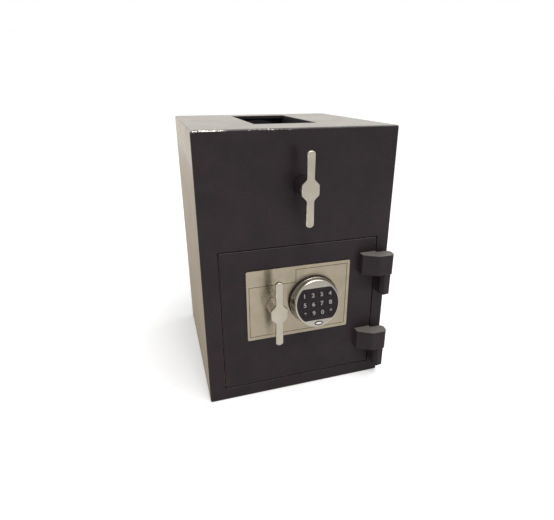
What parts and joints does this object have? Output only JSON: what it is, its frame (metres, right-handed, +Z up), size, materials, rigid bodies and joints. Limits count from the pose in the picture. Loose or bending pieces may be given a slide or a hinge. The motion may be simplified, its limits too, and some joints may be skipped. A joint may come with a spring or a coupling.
{
  "type": "rotary hopper deposit safe",
  "caption": "Steel deposit safe: top slot with a turning drum worked by a T-handle, and a lower door with keypad, T-handle, boltwork and outside hinges.",
  "frame": {"origin": "middle of the cabinet's base, on the underside", "axes": "+X to the right as seen from the front, +Y to the back, +Z up; the front with the door faces -Y"},
  "size_m": [0.3505, 0.3895, 0.5],
  "materials": {
    "body_paint": "dark grey textured enamel, semi-gloss",
    "inner_paint": "dark grey enamel, matt",
    "stainless": "brushed stainless",
    "cast_nickel": "satin cast nickel",
    "bright_chrome": "polished",
    "black_plastic": "fine matt",
    "key_rubber": "matt",
    "zinc_steel": "zinc plated",
    "bronze": "sintered bronze"
  },
  "bodies": {
    "cabinet": {"side_left": "body_paint", "side_right": "body_paint", "bottom_plate": "body_paint", "top_plate": "body_paint", "back_plate": "body_paint", "front_plate": "body_paint", "door_stop_top": "inner_paint", "door_stop_bottom": "inner_paint", "bolt_keeper": "zinc_steel", "hinge_knuckle_upper": "body_paint", "hinge_pin_upper": "zinc_steel", "hinge_knuckle_lower": "body_paint", "hinge_pin_lower": "zinc_steel", "hopper_liner_left": "inner_paint", "hopper_liner_right": "inner_paint", "hopper_plate_front": "inner_paint", "shaft_bush_front": "bronze", "hopper_plate_rear": "inner_paint", "shaft_bush_rear": "bronze", "handle_stop": "zinc_steel"},
    "hopper": {"drum_skin": "inner_paint", "deposit_trough": "inner_paint", "drum_end_front": "inner_paint", "drum_end_rear": "inner_paint", "hopper_shaft": "zinc_steel", "upper_handle_boss": "black_plastic", "upper_t_handle": "cast_nickel", "stop_arm": "zinc_steel"},
    "door": {"door_plate": "body_paint", "hinge_block_upper": "body_paint", "hinge_block_lower": "body_paint", "lock_plate": "stainless", "keypad_gasket": "black_plastic", "keypad_housing": "cast_nickel", "keypad_face": "black_plastic", "carriage_stud_upper": "zinc_steel", "carriage_stud_lower": "zinc_steel", "bolt_guide": "zinc_steel", "dead_bar": "zinc_steel", "lock_case": "zinc_steel"},
    "handle": {"lower_t_handle": "cast_nickel", "lower_handle_spindle": "bright_chrome", "bolt_crank": "zinc_steel"},
    "carriage": {"bolt_carriage": "zinc_steel", "locking_bolt_upper": "bright_chrome", "locking_bolt_lower": "bright_chrome"},
    "deadlock": {"lock_bolt": "bronze"},
    "button_1": {"key_1": "key_rubber"},
    "button_2": {"key_2": "key_rubber"},
    "button_3": {"key_3": "key_rubber"},
    "button_4": {"key_4": "key_rubber"},
    "button_5": {"key_5": "key_rubber"},
    "button_6": {"key_6": "key_rubber"},
    "button_7": {"key_7": "key_rubber"},
    "button_8": {"key_8": "key_rubber"},
    "button_star": {"key_star": "key_rubber"},
    "button_9": {"key_9": "key_rubber"},
    "button_0": {"key_0": "key_rubber"},
    "button_hash": {"key_hash": "key_rubber"}
  },
  "joints": [
    {"name": "door_swing", "type": "hinge", "parent": "cabinet", "child": "door", "pos_m": [0.163, -0.1885, 0.16], "axis": [0, 0, 1], "range_deg": [0, 175]},
    {"name": "hopper_turn", "type": "hinge", "parent": "cabinet", "child": "hopper", "pos_m": [0, 0.017, 0.4087], "axis": [0, 1, 0], "range_deg": [0, 180]},
    {"name": "lower_handle_turn", "type": "hinge", "parent": "door", "child": "handle", "pos_m": [-0.051, -0.1725, 0.1935], "axis": [0, 1, 0], "range_deg": [0, 90]},
    {"name": "bolt_throw", "type": "slide", "parent": "door", "child": "carriage", "axis": [-1, 0, 0], "range_m": [0, 0.02]},
    {"name": "lock_bolt_throw", "type": "slide", "parent": "door", "child": "deadlock", "axis": [-1, 0, 0], "range_m": [0, 0.0195]},
    {"name": "key_1_press", "type": "slide", "parent": "door", "child": "button_1", "axis": [0, 0.9763, -0.2164], "range_m": [0, 0.0008], "stiffness_N_per_m": 1000},
    {"name": "key_2_press", "type": "slide", "parent": "door", "child": "button_2", "axis": [0, 0.9763, -0.2164], "range_m": [0, 0.0008], "stiffness_N_per_m": 1000},
    {"name": "key_3_press", "type": "slide", "parent": "door", "child": "button_3", "axis": [0, 0.9763, -0.2164], "range_m": [0, 0.0008], "stiffness_N_per_m": 1000},
    {"name": "key_4_press", "type": "slide", "parent": "door", "child": "button_4", "axis": [0, 0.9763, -0.2164], "range_m": [0, 0.0008], "stiffness_N_per_m": 1000},
    {"name": "key_5_press", "type": "slide", "parent": "door", "child": "button_5", "axis": [0, 0.9763, -0.2164], "range_m": [0, 0.0008], "stiffness_N_per_m": 1000},
    {"name": "key_6_press", "type": "slide", "parent": "door", "child": "button_6", "axis": [0, 0.9763, -0.2164], "range_m": [0, 0.0008], "stiffness_N_per_m": 1000},
    {"name": "key_7_press", "type": "slide", "parent": "door", "child": "button_7", "axis": [0, 0.9763, -0.2164], "range_m": [0, 0.0008], "stiffness_N_per_m": 1000},
    {"name": "key_8_press", "type": "slide", "parent": "door", "child": "button_8", "axis": [0, 0.9763, -0.2164], "range_m": [0, 0.0008], "stiffness_N_per_m": 1000},
    {"name": "key_star_press", "type": "slide", "parent": "door", "child": "button_star", "axis": [0, 0.9763, -0.2164], "range_m": [0, 0.0008], "stiffness_N_per_m": 1000},
    {"name": "key_9_press", "type": "slide", "parent": "door", "child": "button_9", "axis": [0, 0.9763, -0.2164], "range_m": [0, 0.0008], "stiffness_N_per_m": 1000},
    {"name": "key_0_press", "type": "slide", "parent": "door", "child": "button_0", "axis": [0, 0.9763, -0.2164], "range_m": [0, 0.0008], "stiffness_N_per_m": 1000},
    {"name": "key_hash_press", "type": "slide", "parent": "door", "child": "button_hash", "axis": [0, 0.9763, -0.2164], "range_m": [0, 0.0008], "stiffness_N_per_m": 1000}
  ],
  "couplings": [
    {"joint": "bolt_throw", "follows": "lower_handle_turn", "m_per_rad": 0.012732},
    {"joint": "lock_bolt_throw", "follows": "lower_handle_turn", "m_per_rad": 0.012414}
  ]
}
